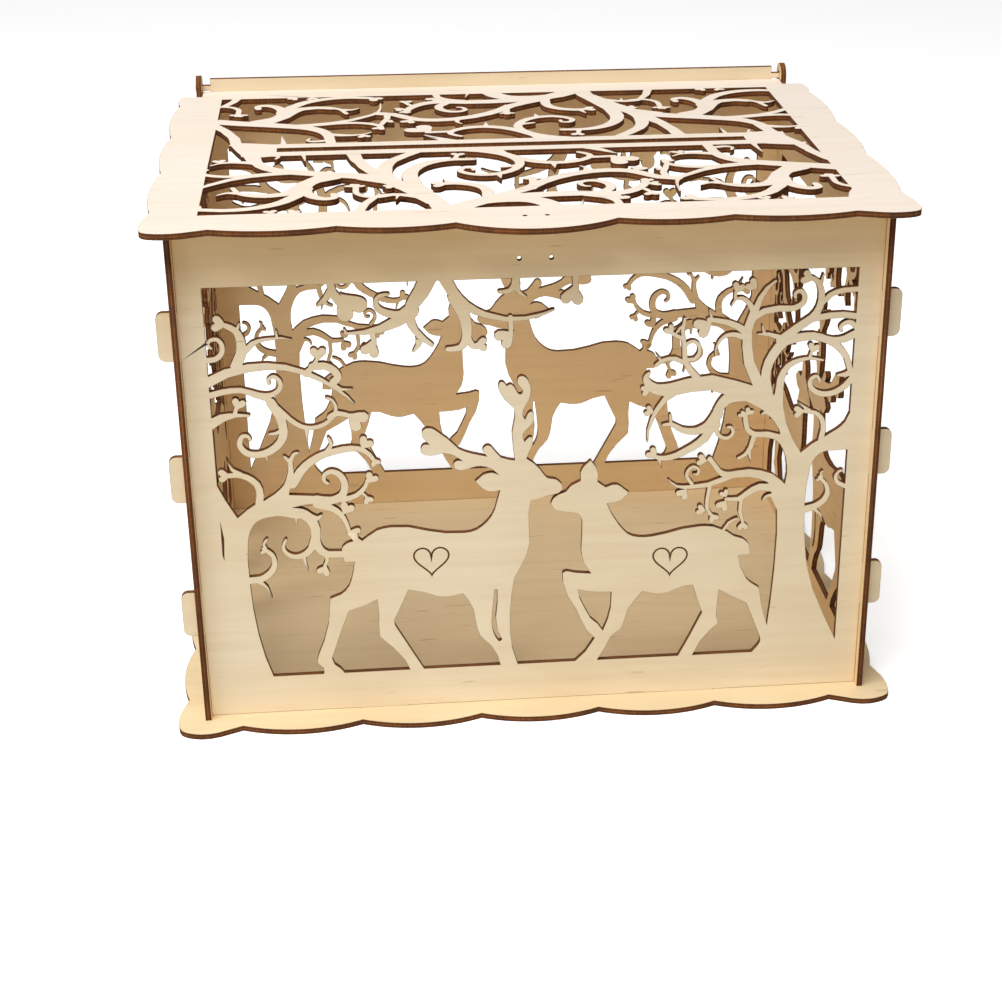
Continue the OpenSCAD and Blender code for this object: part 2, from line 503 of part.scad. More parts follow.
module hanging_boughs() {
    // Left bough
    branch([[-41.5, 194], [-44.8, 187.5], [-48.6, 182], [-49.4, 176.5], [-47.3, 171.5],
        [-43.8, 167.8], [-41, 165.6]], 7, 1.8);
    branch([[-46, 168.5], [-46.6, 165.6], [-48.5, 163.2]], 3.4, 1);
    branch([[-47, 183.5], [-52.5, 178.9], [-57.5, 179.2], [-61.4, 181.2], [-62.5, 184.2],
        [-60.8, 186.7], [-57.5, 187.1]], 4, 1.5);
    branch([[-48.6, 180], [-54.5, 175.9], [-61, 173.1], [-67.5, 171.8], [-75.5, 171.7]], 6, 0.9);
    branch([[-74.5, 171.8], [-75.2, 173.4]], 1.4, 1);
    branch([[-64.3, 171.5], [-63.6, 167]], 2.6, 1.8);
    leaf([-63.5, 168.5], 245, 8);
    branch([[-63.6, 168.4], [-66, 166.8], [-69, 164.8]], 1.8, 1);
    // Right bough
    branch([[-36, 194], [-32.3, 187], [-27, 181.3], [-20, 177.4], [-12, 175.3], [-4, 175.4],
        [3, 177], [7.2, 178.6]], 5, 1);
    branch([[-32, 185], [-28.6, 178.6], [-27.3, 172.5], [-27.6, 167.5], [-30.3, 164],
        [-35, 163.6]], 5.4, 2.2);
    branch([[-27, 169], [-25.4, 165], [-22.5, 164.6]], 2.6, 3);
    leaf([-24.8, 165], 2, 6.2);
    branch([[-10, 176], [-9.8, 168.8]], 2.4, 2);
    leaf([-8.4, 170.4], 218, 9);
    // Sprigs and fruit at the top edge
    branch([[-7.2, 194], [-8, 189.5], [-10.5, 186.9], [-14.2, 186.7]], 3.6, 1.6);
    branch([[-7.4, 190], [-6.6, 186.3], [-3.5, 184.2]], 3.2, 0.9);
    branch([[15.8, 194], [15.9, 185.5]], 3, 2.6);
    leaf([15.2, 189], 262, 9.6);
    branch([[-80, 194], [-79, 188.6], [-76.5, 185]], 3, 4);
    leaf([-76.3, 188.8], -58, 13.2);
    branch([[-79.6, 189], [-82, 186], [-85, 183.6]], 3.6, 1.4);
    branch([[-82.6, 185], [-81, 184]], 2.4, 1);
}

// ---------- The walls ----------

module window(half, low, high) {
    translate([-half, low])
        square([2 * half, high - low]);
}

// The fretwork of the walls
module woodland() {
    difference() {
        union() {
            polygon(buck_shape);
            polygon(doe_shape);
            branch([[78, 78.4], [80.5, 82.3], [84, 84]], 1.5, 1.2);
            polygon(trunk_shape);
            polygon(half_trunk_shape);
            tree_crown_left();
            tree_crown_right();
            half_tree();
            hanging_boughs();
        }
        polygon(buck_slit);
        polygon(doe_slit);
        polygon(half_trunk_slit);
    }
}

// A wall tab with two rounded outer corners, drawn along +X
module tab(reach) {
    translate([0, -tab_h / 2 + tab_gap])
        square([reach - tab_round, tab_h - 2 * tab_gap]);
    translate([0, -tab_h / 2 + tab_round + tab_gap])
        square([reach, tab_h - 2 * (tab_round + tab_gap)]);
    for (side = [-1, 1])
        translate([reach - tab_round, side * (tab_h / 2 - tab_round - tab_gap)])
            circle(r = tab_round, $fn = 32);
}

// The places up a wall where its tabs sit
function tab_heights() = [for (i = [0 : 2]) tab_low + i * tab_pitch];

module front_outline() {
    translate([-panel_w / 2, ply])
        square([panel_w, wall_top - ply]);
    for (x = [-foot_x, foot_x])
        translate([x - foot_w / 2 + tab_gap, 0])
            square([foot_w - 2 * tab_gap, ply + eps]);
    for (side = [0, 1], z = tab_heights())
        mirror([side, 0])
            translate([panel_w / 2 - eps, z])
                tab(ply + tab_reach + eps);
}

module fretted_wall() {
    linear_extrude(ply)
        cut_out() {
            difference() {
                front_outline();
                window(window_half, window_low, window_high);
            }
            intersection() {
                woodland();
                window(window_half + 2, window_low - 2, window_high + 2);
            }
        }
}

// An engraved heart outline, drawn round its middle
module heart_groove(size) {
    linear_extrude(engraving + eps)
        translate([0, -size / 2])
            rotate(90)
                difference() {
                    polygon(heart(size));
                    offset(delta = -groove_w)
                        polygon(heart(size));
                }
}

// The front or back wall, standing with its outer face at y = 0
module standing_wall(hasp) {
    rotate([90, 0, 0])
        translate([0, 0, -ply])
            difference() {
                fretted_wall();
                for (place = [[-44, 71], [56, 66]])
                    translate([place[0], place[1], ply - engraving])
                        heart_groove(15);
                if (hasp)
                    for (x = [-0.5, 0.5] * panel_hasp_pitch)
                        translate([x, panel_hasp_z, -1])
                            cylinder(r = hasp_hole_r, h = ply + 2, $fn = 32);
            }
}

module front_panel() {
    color(face_colour)
        translate([0, panel_front, 0])
            standing_wall(true);
}

module back_panel() {
    color(face_colour)
        rotate(180)
            translate([0, panel_front, 0])
                standing_wall(false);
}

// A side panel as seen from outside the left wall, +X towards the back
module side_outline() {
    difference() {
        union() {
            translate([side_front, ply])
                square([side_rear - side_front, wall_top - ply]);
            translate([pivot_y - ear_r, wall_top - 1])
                square([2 * ear_r, pivot_rise + 1]);
            translate([pivot_y, pivot_z])
                circle(r = ear_r, $fn = 64);
            for (y = [-foot_y, foot_y])
                translate([y - foot_w / 2 + tab_gap, 0])
                    square([foot_w - 2 * tab_gap, ply + eps]);
        }
        window(side_window_half, window_low - side_drop, window_high - side_drop);
        for (y = [panel_front, -panel_front - ply], z = tab_heights())
            translate([y - tab_gap, z - tab_h / 2])
                square([ply + 2 * tab_gap, tab_h]);
    }
}

module side_wall() {
    difference() {
        linear_extrude(ply)
            cut_out() {
                side_outline();
                translate([0, -side_drop])
                    intersection() {
                        woodland();
                        window(side_window_half + 2, window_low - 2, window_high + 2);
                    }
            }
        translate([pivot_y, pivot_z, -1])
            cylinder(r = pin_hole_r, h = ply + 2, $fn = 48);
    }
}

module left_side_panel() {
    color(face_colour)
        translate([-panel_w / 2 - ply, 0, 0])
            rotate([90, 0, 90])
                side_wall();
}

module right_side_panel() {
    color(face_colour)
        translate([panel_w / 2, 0, 0])
            rotate([90, 0, 90])
                side_wall();
}

// ---------- Scalloped edges ----------

// An arc of the given depth from one end of an edge to the other, bulging to the right
module lobe(from, to, depth) {
    chord = norm(to - from);
    radius = (chord * chord / 4 + depth * depth) / (2 * depth);
    middle = (from + to) / 2;
    outward = [to[1] - from[1], from[0] - to[0]] / chord;
    intersection() {
        translate(middle - outward * (radius - depth))
            circle(r = radius, $fn = 96);
        polygon([from, to, to + outward * depth * 2, from + outward * depth * 2]);
    }
}

// A row of lobes between the stations along one straight edge
module lobes(stations, depths) {
    for (i = [0 : len(depths) - 1])
        lobe([stations[i], 0], [stations[i + 1], 0], depths[i]);
}

// A rounded corner that bulges past both edges, its notch on each edge at the given run
module corner_lobe(run_x, run_y, out_x, out_y) {
    polygon(concat([[-run_x, -run_y]], path([[-run_x, 0], [-run_x * 0.6, out_y * 0.8],
        [-run_x * 0.28, out_y], [out_x * 0.4, out_y * 0.35], [out_x, -run_y * 0.28],
        [out_x * 0.8, -run_y * 0.6], [0, -run_y]])));
}

// ---------- The base ----------

base_half_x = body_w / 2 + base_side_reach;
base_half_y = body_d / 2 + base_reach;
base_corner = 24;

module base_outline() {
    span_x = 2 * (base_half_x - base_corner);
    span_y = 2 * (base_half_y - base_corner);
    square([2 * base_half_x, span_y], center = true);
    square([span_x, 2 * base_half_y], center = true);
    for (side = [0, 180])
        rotate(side) {
            translate([0, -base_half_y])
                lobes([for (i = [0 : base_lobes]) span_x * (i / base_lobes - 0.5)],
                    [for (i = [1 : base_lobes]) base_scallop]);
            translate([base_half_x, 0])
                rotate(90)
                    lobes([for (i = [-2 : 2]) span_y * i / 4],
                        [for (i = [1 : 4]) base_scallop * 0.6]);
        }
    for (x = [0, 1], y = [0, 1])
        mirror([x, 0])
            mirror([0, y])
                translate([base_half_x, base_half_y])
                    corner_lobe(base_corner, base_corner, base_scallop * 0.6, base_scallop);
}

module base_plate() {
    color(face_colour)
        linear_extrude(ply)
            difference() {
                offset(delta = -kerf / 2)
                    base_outline();
                for (y = [panel_front, -panel_front - ply], x = [-foot_x, foot_x])
                    translate([x - foot_w / 2, y - tab_gap])
                        square([foot_w, ply + 2 * tab_gap]);
                for (x = [-body_w / 2, panel_w / 2], y = [-foot_y, foot_y])
                    translate([x - tab_gap, y - foot_w / 2])
                        square([ply + 2 * tab_gap, foot_w]);
            }
}

// ---------- The lid ----------

lid_scallop_side = 2.4;
lid_half_x = body_w / 2 + lid_side_reach - lid_scallop_side;
lid_corner = 24;
lid_stations = [-124, -76, -31, 31, 76, 124];
lid_depths = [lid_scallop, lid_scallop, lid_lip, lid_scallop, lid_scallop];
lid_side_pitch = (lid_rear - lid_front - lid_corner) / 3.3;
band_half = slot_w / 2 + bar_w;
band_l = 236;
vine_shift = 4.6;

// One spray of the vine: a big leaf bow, a curl and the boughs that carry them
module spray() {
    // Bough that runs in from the side and turns down
    branch([[-130, 48.6], [-118, 44], [-106, 40.4], [-95, 36.6], [-87, 32.4], [-81.6, 26],
        [-79.2, 18], [-78, 4]], 8.5, 4.6);
    branch([[-98, 37], [-87, 38.6], [-77, 41.5], [-69, 46], [-62, 52.4], [-57.6, 58],
        [-55.8, 66], [-55.4, 76]], 5, 0.9);
    branch([[-86, 38], [-76, 40.4], [-67, 40.6], [-60.4, 38], [-56.6, 34], [-56.2, 30]], 4, 3);
    leaf([-56, 33], 250, 6.4);
    branch([[-56, 36], [-54.6, 42], [-53, 47], [-53, 52]], 2.6, 3.4);
    leaf([-54.6, 41.5], 10, 5);
    // Twigs beside it
    branch([[-80, 21], [-74, 19.3], [-68.6, 18.7], [-63.6, 20.2], [-60.6, 23]], 4.6, 1.2);
    leaf([-64.6, 20], 282, 6.4);
    branch([[-81.6, 10.2], [-85.6, 9.4], [-88.2, 11.4], [-87.2, 15]], 3.4, 1.4);
    branch([[-98.4, 4], [-98.8, 11], [-99.6, 20]], 3.4, 0.7);
    branch([[-130, 42], [-124.4, 31], [-120.6, 20], [-119, 11], [-118.4, 3]], 5, 4.6);
    branch([[-118, 6], [-112, 5.4], [-105, 4.4]], 8, 5);
    // Curl
    branch([[-112, 46], [-104.4, 50.6], [-100.6, 57.6], [-100.4, 66], [-102.8, 73],
        [-107.6, 76.9], [-111.6, 75.4], [-111.4, 70.6]], 6, 3.2);
    // Long bow to the top
    branch([[-100.6, 62], [-96.6, 72], [-91.8, 79.6], [-85.4, 85], [-77.4, 88.4], [-68.6, 89.2],
        [-60, 87.4]], 6, 4);
    leaf([-61.4, 88], -38, 8.4);
    // Broad leaf bow
    branch([[-106, 44.6], [-99, 54.6], [-95.4, 63.4], [-90.6, 69.4], [-84.4, 71.3],
        [-78, 69.5], [-73.4, 65.4], [-71.2, 58]], 5.6, 2.4);
    branch([[-92, 69], [-84.4, 70.8], [-77.6, 68.6]], 5.6, 4);
    branch([[-73, 65.4], [-69, 65], [-65.4, 68]], 4, 0.9);
    // Bough from the top to the side, with two buds
    branch([[-121, 96], [-123.4, 85.6], [-127, 77.6]], 4.4, 3.4);
    branch([[-143, 76], [-136, 73.6], [-129, 76.4], [-123.6, 75], [-120.3, 70], [-120.2, 64],
        [-120, 59.6]], 3, 2.8);
    leaf([-119.4, 62], 232, 5.8);
    leaf([-120.4, 61.6], 312, 5.8);
}

// The heart, ring and boughs between the two sprays
module heart_spray() {
    // Boughs that hang from the rear edge
    branch([[39, 97], [41, 84], [45.6, 69.4], [49.6, 56], [50.8, 43], [49.2, 33.6],
        [44.6, 25.6], [38, 20.7], [31, 19], [23.6, 19.4]], 8.4, 3.4);
    branch([[42, 82], [48, 70], [53.4, 59], [60, 50.6], [70, 44.4]], 8, 6);
    branch([[53, 60], [59, 48], [61, 38], [60.4, 28], [57.4, 18.6], [52, 11], [46, 4]], 8, 4.6);
    branch([[58, 52], [64, 40], [69, 27], [72, 14], [73, 3]], 6, 5);
    leaf([56.6, 56.6], 20, 6);
    branch([[56.4, 71], [57.2, 76]], 2, 0.7);
    branch([[47, 75], [52, 71.4], [58, 69.6], [64, 71]], 4, 3.6);
    branch([[36, 92], [28, 84.4], [18, 79], [8, 76.6], [-4, 75], [-16, 75], [-26, 76.6],
        [-34, 75], [-40, 69.4], [-43.4, 62.6], [-44, 57.6]], 9, 3.4);
    branch([[-4, 97], [-1.6, 88], [5, 81.6], [14, 80.4], [24, 82.4], [32, 90]], 9, 8);
    branch([[-29.6, 97], [-28.8, 87], [-24.6, 80.4], [-17, 76.4]], 3.4, 5);
    leaf([-27.6, 85.6], 232, 8.6);
    branch([[-14.6, 97], [-14.4, 90], [-15.6, 84.6]], 2.4, 0.7);
    leaf([-44.2, 62], 262, 6);
    leaf([-43.6, 64.6], 190, 6.6);
    branch([[-42, 71.6], [-43.8, 76]], 2.6, 2.4);
    leaf([-43.4, 74.6], 92, 6.6);
    // Curl under the rear bough
    branch([[-24.6, 75], [-28.4, 69], [-28.6, 63], [-25, 58], [-20, 57.2], [-17, 60.4],
        [-18.2, 64.4], [-20.4, 65.4]], 4.6, 1.8);
    // Wide bow that passes under the curl
    branch([[30, 86], [20, 77.6], [10, 70.4], [4, 65.4], [-1.6, 57.6], [-7.6, 51.6],
        [-14.6, 46.8], [-22.6, 43.4], [-31, 42.2], [-39, 43.8], [-45, 49], [-50, 54.4],
        [-57, 57]], 6, 5.4);
    leaf([-42, 44.4], 244, 7.6);
    branch([[-21.6, 42], [-22, 37.6], [-20, 34.2]], 3, 0.9);
    branch([[3, 66], [1.4, 59], [1.4, 52]], 4.6, 3.4);
    leaf([1.8, 54], 238, 5);
    leaf([1.4, 54], 300, 5);
    // Bow with the big leaf
    branch([[13.6, 3], [10.4, 11.6], [4.4, 19.6], [-3, 25.8], [-11, 28.2], [-19, 26.6],
        [-25, 21.6], [-25.8, 16.4], [-21.8, 12.4]], 5.4, 2.6);
    branch([[-9.6, 28], [-9.4, 36.4]], 3.4, 0.6);
    branch([[-36, 20.4], [-26, 21]], 3, 3.4);
    leaf([-33.6, 20.4], 132, 14.6);
    branch([[-37.6, 16], [-33, 10.6], [-26, 4]], 1, 6);
    // Ring with its inner curl and bud
    branch([[30, 2.6], [20, 6], [11.4, 11.6], [6, 19.4], [4.4, 28], [7.4, 36.6], [13, 42.2],
        [20, 44.2], [26, 42.2], [29.8, 37.6], [28.2, 33], [24.8, 33.4], [24.4, 36.6]], 5, 1.8);
    branch([[6, 31], [12, 33]], 3.4, 2);
    branch([[14.4, 44], [14, 50]], 3, 0.6);
    branch([[31, 19], [30, 13]], 3, 2);
    leaf([30, 14.6], 262, 6.6);
    // Stem inside the heart
    branch([[21.6, 82], [20.8, 71], [21.8, 63.4], [26.4, 58], [33, 55.4], [38, 56]], 5, 4);
    leaf([35.4, 56], 8, 8);
    branch([[35.4, 54.6], [37.4, 48.4]], 3, 0.7);
}

// The fretwork of half of the lid, measured from the middle of the slot, the vine moved along it
module lid_vine(shift) {
    intersection() {
        translate([shift, -fret_mid]) {
            spray();
            translate([193, -4])
                spray();
            heart_spray();
        }
        translate([-lid_window_half - 2, band_half - 1])
            square([2 * lid_window_half + 4, fret_far - band_half + 3]);
    }
    for (x = [-91, 102], side = [-1, 1])
        translate([x + side * 3 + shift, fret_far + 1])
            leaf([0, 0], 260 + side * 25, 6);
}

module lid_edge() {
    translate([-lid_half_x, lid_front])
        square([2 * lid_half_x, lid_rear - lid_front]);
    translate([-tongue_half, lid_rear - 1])
        square([2 * tongue_half, tongue_rear - lid_rear + 1]);
    translate([0, lid_front])
        lobes(lid_stations, lid_depths);
    for (side = [0, 1])
        mirror([side, 0]) {
            translate([lid_half_x, lid_front + lid_corner])
                rotate(90)
                    lobes([0, 1, 2, 3] * lid_side_pitch,
                        [for (i = [1 : 3]) lid_scallop_side]);
            translate([lid_half_x, lid_rear - 0.3 * lid_side_pitch])
                rotate(90)
                    lobe([0, 0], [0.3 * lid_side_pitch, 0], 1.2);
            translate([lid_half_x, lid_front])
                mirror([0, 1])
                    corner_lobe(lid_half_x + lid_stations[0], lid_corner, lid_scallop_side,
                        lid_scallop);
        }
}

module lid_outline() {
    difference() {
        lid_edge();
        translate([0, fret_mid])
            square([2 * lid_window_half, 2 * fret_far], center = true);
    }
    translate([0, fret_mid]) {
        difference() {
            translate([2, 0])
                square([band_l, 2 * band_half], center = true);
            square([slot_l, slot_w], center = true);
        }
        lid_vine(0);
        rotate(180)
            lid_vine(-vine_shift);
        branch([[-120, 22], [-118.6, 10], [-115.6, 0], [-112, -10], [-109.6, -20]], 5, 6);
        branch([[112, 24], [114.4, 12], [118, 0], [122, -10], [124.6, -20]], 6, 5);
    }
}

module lid_plate() {
    color(face_colour)
        translate([0, 0, lid_low])
            difference() {
                linear_extrude(ply)
                    cut_out()
                        lid_outline();
                for (x = [-0.5, 0.5] * lid_hasp_pitch)
                    translate([x, lid_hasp_y, -1])
                        cylinder(r = hasp_hole_r, h = ply + 2, $fn = 32);
            }
}

// ---------- The hinge bar ----------

module hinge_bar() {
    color(face_colour)
        translate([0, pivot_y - ply / 2, 0]) {
            translate([-bar_half, 0, lid_low])
                cube([2 * bar_half, ply, ply + bar_rise]);
            translate([-body_w / 2 - 0.5, 0, pivot_z - pin_half])
                cube([body_w + 1, ply, 2 * pin_half]);
        }
}

base_plate();
front_panel();
back_panel();
left_side_panel();
right_side_panel();
lid_plate();
hinge_bar();
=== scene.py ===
"""A wedding card box of laser-cut birch ply, finished for close viewing.

Seven plates make the box. Each gets eased, scorched edges, a ply edge with its
layers, and a birch face with grain, figure and flecks.
"""

import math

import bmesh
import bpy
from mathutils import Euler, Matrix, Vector


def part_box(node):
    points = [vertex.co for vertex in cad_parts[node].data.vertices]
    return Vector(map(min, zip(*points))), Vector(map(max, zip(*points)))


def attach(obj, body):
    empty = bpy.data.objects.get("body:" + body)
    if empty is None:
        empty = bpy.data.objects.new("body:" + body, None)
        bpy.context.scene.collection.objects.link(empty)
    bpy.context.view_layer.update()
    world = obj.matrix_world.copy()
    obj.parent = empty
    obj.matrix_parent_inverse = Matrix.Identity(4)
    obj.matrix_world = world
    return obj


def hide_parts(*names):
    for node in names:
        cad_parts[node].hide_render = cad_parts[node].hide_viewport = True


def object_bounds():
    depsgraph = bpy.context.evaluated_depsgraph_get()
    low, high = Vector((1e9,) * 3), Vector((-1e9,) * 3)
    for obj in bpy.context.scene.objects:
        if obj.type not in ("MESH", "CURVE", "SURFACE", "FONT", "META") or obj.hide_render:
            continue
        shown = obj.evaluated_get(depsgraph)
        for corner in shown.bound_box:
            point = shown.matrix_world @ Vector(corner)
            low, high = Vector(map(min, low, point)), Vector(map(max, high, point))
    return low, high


MM = 0.001
X, Y, Z = 0, 1, 2

# The eased edge of a laser cut, and the browned line beside it on the face.
EASE_ACROSS = 0.12 * MM
EASE_DOWN = 0.10 * MM
BROWNING = 0.22 * MM
# How brown the face is where the eased edge meets it, from 0 to 1.
BROWNED = 0.42
# The furthest that a corner's inner point moves, in widths of its ring.
CORNER_REACH = 1.8
# Bends of a cut wall up to this angle are shaded smooth, in degrees.
SMOOTH_BEND = 32

# Depth of the grain of a face and of the fine lines in a burnt wall.
GRAIN_DEPTH = 0.08 * MM
# Colours of the flecks in a veneer, of the browned line on a face, and of the patches on a wall.
FLECK = (0.36, 0.21, 0.10)
TOASTED = (0.42, 0.24, 0.11)
SOOT = (0.060, 0.022, 0.008)

# Painted shade beneath the lid: the front's veneer is browner and darker towards its top: how far
# down that reaches, and the tint at the top.
LID_SHADE_BAND = 52 * MM
LID_SHADE_TINT = (0.91, 0.77, 0.55)

# The camera.
CAMERA_PLACE = Vector((-0.0660, -0.8453, 0.4372))
CAMERA_TURN = (64.486, -0.081, -6.114)
CAMERA_LENS = 71.375
CAMERA_SHIFT = (-0.0689, 0.0289)

# The light: an even sky, a broad lamp overhead, a smaller one to the left, and a long low
# one in front. Each lamp: its place, what it points at, its size in metres, its power in watts.
# The sky is seen brighter than it lights.
SKY_STRENGTH = 0.28
SKY_SHOWN = 1.0
LAMPS = {
    "overhead_lamp": ((-0.40, -0.50, 1.6), (0.0, 0.0, 0.1), (1.2, 1.2), 28.0),
    "left_lamp": ((-1.3, -0.7, 0.55), (0.0, 0.0, 0.1), (0.7, 0.7), 3.5),
    "low_front_lamp": ((0.0, -0.38, 0.03), (0.0, 0.0, 0.06), (0.5, 0.06), 0.28),
}
# The floor looks white, with a glow of its own, but throws back less light than white would.
FLOOR_SIZE = 12.0
FLOOR_WHITE = 0.90
FLOOR_GLOW = 0.50
FLOOR_BOUNCE = 0.40


class Flow:
    """An output of a shader node. Python's arithmetic on it adds Math nodes."""

    def __init__(self, finish, socket):
        self.finish = finish
        self.socket = socket

    def math(self, operation, *values):
        return self.finish.add("ShaderNodeMath", {"operation": operation}, dict(enumerate(values)))

    def __add__(self, other):
        return self.math("ADD", self, other)

    def __sub__(self, other):
        return self.math("SUBTRACT", self, other)

    def __rsub__(self, other):
        return self.math("SUBTRACT", other, self)

    def __mul__(self, other):
        return self.math("MULTIPLY", self, other)

    def __truediv__(self, other):
        return self.math("DIVIDE", self, other)

    __radd__ = __add__
    __rmul__ = __mul__

    def sine(self):
        return self.math("SINE", self)

    def rise(self, start, end):
        """0 below start, 1 above end, and a smooth rise between them."""
        settings = {"interpolation_type": "SMOOTHSTEP"}
        inputs = {"Value": self, "From Min": start, "From Max": end}
        return self.finish.add("ShaderNodeMapRange", settings, inputs)


class Finish:
    """A material while its nodes are being laid out."""

    def __init__(self, name):
        self.material = bpy.data.materials.new(name)
        self.material.use_nodes = True
        self.tree = self.material.node_tree
        self.tree.nodes.clear()

    def add(self, kind, settings, inputs, output=0):
        """Adds a node: its settings first, then its inputs. Gives one of its outputs."""
        node = self.tree.nodes.new(kind)
        for name, value in settings.items():
            if name == "stops":
                self.set_stops(node.color_ramp, value)
            else:
                setattr(node, name, value)
        for name, value in inputs.items():
            if isinstance(value, Flow):
                self.tree.links.new(value.socket, node.inputs[name])
            else:
                node.inputs[name].default_value = value
        return Flow(self, node.outputs[output])

    def set_stops(self, ramp, stops):
        while len(ramp.elements) < len(stops):
            ramp.elements.new(1.0)
        for element, (position, colour) in zip(ramp.elements, stops):
            element.position = position
            element.color = (*colour, 1.0)

    def noise(self, vector, scale, detail=2.0, roughness=0.5, distortion=0.0):
        inputs = {
            "Vector": vector,
            "Scale": scale,
            "Detail": detail,
            "Roughness": roughness,
            "Distortion": distortion,
        }
        return self.add("ShaderNodeTexNoise", {}, inputs)

    def stretched(self, vector, factors):
        """The same place with each axis scaled by its own factor."""
        return self.add("ShaderNodeVectorMath", {"operation": "MULTIPLY"}, {0: vector, 1: factors})

    def mix(self, amount, first, second, blend="MIX"):
        """A blend of two colours. A plain colour is given as three numbers."""
        first = first if isinstance(first, Flow) else (*first, 1.0)
        second = second if isinstance(second, Flow) else (*second, 1.0)
        settings = {"data_type": "RGBA", "blend_type": blend, "clamp_factor": True}
        return self.add("ShaderNodeMix", settings, {0: amount, 6: first, 7: second}, output=2)

    def close(self, colour, roughness, normal, specular):
        """Joins everything to the surface."""
        inputs = {
            "Base Color": colour,
            "Roughness": roughness,
            "Normal": normal,
            "Specular IOR Level": specular,
        }
        surface = self.add("ShaderNodeBsdfPrincipled", {}, inputs)
        output = self.tree.nodes.new("ShaderNodeOutputMaterial")
        self.tree.links.new(surface.socket, output.inputs["Surface"])
        return self.material


def axis_factors(along, through, along_factor, through_factor):
    """Factors for the three axes of a plate: along its grain, through its layers, and across."""
    factors = [1.0, 1.0, 1.0]
    factors[along] = along_factor
    factors[through] = through_factor
    return factors


def birch_face(finish, place, along, through, tone):
    """The face of a birch veneer: its colour, and its grain for the bump."""
    def drawn_out(factor):
        return finish.stretched(place, axis_factors(along, through, factor, 1.0))

    fine = finish.noise(drawn_out(0.035), 1500.0, 4.0, 0.65)
    streaks = finish.noise(drawn_out(0.03), 260.0, 3.0, 0.55)
    swell = finish.noise(drawn_out(0.28), 16.0, 2.0, 0.5, 0.6)
    clouds = finish.noise(place, 9.0, 2.0, 0.5)
    figure = (swell * 55.0).sine() * 0.5 + 0.5
    flecks = finish.noise(drawn_out(0.11), 520.0, 1.0, 0.4)

    pale, warm, late = tone
    colour = finish.mix(clouds.rise(0.35, 0.65), pale, warm)
    colour = finish.mix(figure * 0.10, colour, late)
    colour = finish.mix(streaks.rise(0.42, 0.72) * 0.20, colour, late)
    colour = finish.mix(fine.rise(0.50, 0.80) * 0.20, colour, late)
    colour = finish.mix(flecks.rise(0.71, 0.79) * 0.35, colour, FLECK)
    return colour, fine


def painted_lid_shade(finish, place, colour, top):
    """Painted shade beneath the lid: a veneer that grows browner and darker up to its top edge."""
    height = finish.add("ShaderNodeSeparateXYZ", {}, {0: place}, output=Z)
    return finish.mix(height.rise(top - LID_SHADE_BAND, top), colour, LID_SHADE_TINT, "MULTIPLY")


def burnt_edge(finish, place, along, through, low, thickness):
    """The wall of a laser cut: char at both faces, glue lines, and a browner core."""
    parts = finish.add("ShaderNodeSeparateXYZ", {}, {0: place}, output=through)
    depth = (parts - low) / thickness
    char = (0.024, 0.006, 0.002)
    veneer = (0.170, 0.050, 0.009)
    glue = (0.045, 0.012, 0.002)
    core = (0.290, 0.098, 0.019)
    stops = [
        (0.00, char), (0.10, veneer), (0.27, veneer), (0.32, glue),
        (0.38, core), (0.62, core), (0.68, glue), (0.73, veneer), (0.90, veneer), (1.00, char),
    ]
    layers = finish.add("ShaderNodeValToRGB", {"stops": stops}, {0: depth})
    across = finish.stretched(place, axis_factors(along, through, 1.0, 0.08))
    lines = finish.noise(across, 1700.0, 3.0, 0.6)
    patches = finish.noise(place, 75.0, 2.0, 0.5)
    colour = finish.mix(lines.rise(0.35, 0.75) * 0.60, layers, char)
    colour = finish.mix(patches.rise(0.40, 0.70) * 0.55, colour, SOOT)
    return colour, lines


def birch_ply(name, along, through, low, thickness, tone, lid_shade_top=None):
    """Birch ply, with its face grain along one axis and its layers across another."""
    finish = Finish(name)
    place = finish.add("ShaderNodeTexCoord", {}, {}, output="Object")
    scorch = finish.add("ShaderNodeAttribute", {"attribute_name": "scorch"}, {}, output="Fac")
    wood, grain = birch_face(finish, place, along, through, tone)
    # Painted shade beneath the lid, browning the veneer towards the plate's top, when a top is
    # given.
    if lid_shade_top is not None:
        wood = painted_lid_shade(finish, place, wood, lid_shade_top)
    edge, lines = burnt_edge(finish, place, along, through, low, thickness)

    browned = finish.mix(scorch.rise(0.0, BROWNED * 1.6) * 0.75, wood, TOASTED)
    colour = finish.mix(scorch.rise(BROWNED, 1.0), browned, edge)
    roughness = 0.50 + grain * 0.12 + scorch * 0.32
    height = grain * (1 - scorch) * 0.5 + lines * scorch
    inputs = {"Height": height, "Strength": 0.35, "Distance": GRAIN_DEPTH}
    normal = finish.add("ShaderNodeBump", {}, inputs)
    return finish.close(colour, roughness, normal, 0.36)


def inner_ring(bm, cap, width, level):
    """Draws the outline of a face inwards by a width, and gives the points it started from.

    At a sharp corner the inner point is held back, because it would be thrown far.
    """
    scorch = bm.verts.layers.float["scorch"]
    reach = CORNER_REACH * width
    ring = bmesh.ops.inset_region(
        bm, faces=cap, thickness=width, use_even_offset=True, use_boundary=True)
    inner = {vert for face in cap for vert in face.verts}
    outer = set()
    for edge in {edge for face in ring["faces"] for edge in face.edges}:
        inside, outside = edge.verts
        if outside in inner:
            inside, outside = outside, inside
        if inside not in inner or outside in inner:
            continue
        step = inside.co - outside.co
        if step.length > reach:
            inside.co = outside.co + step * (reach / step.length)
        outer.add(outside)
    for vert in inner:
        vert[scorch] = level
    return outer


def ease_face(bm, axis, plane, inward):
    """Eases the rim of one face of a plate and rings it with a narrow browned band."""
    cap = [
        face for face in bm.faces
        if abs(face.normal[axis]) > 0.99 and abs(face.calc_center_median()[axis] - plane) < 0.01 * MM
    ]
    rim = inner_ring(bm, cap, EASE_ACROSS, BROWNED)
    inner_ring(bm, cap, BROWNING, 0.0)
    for vert in rim:
        vert.co[axis] += inward * EASE_DOWN


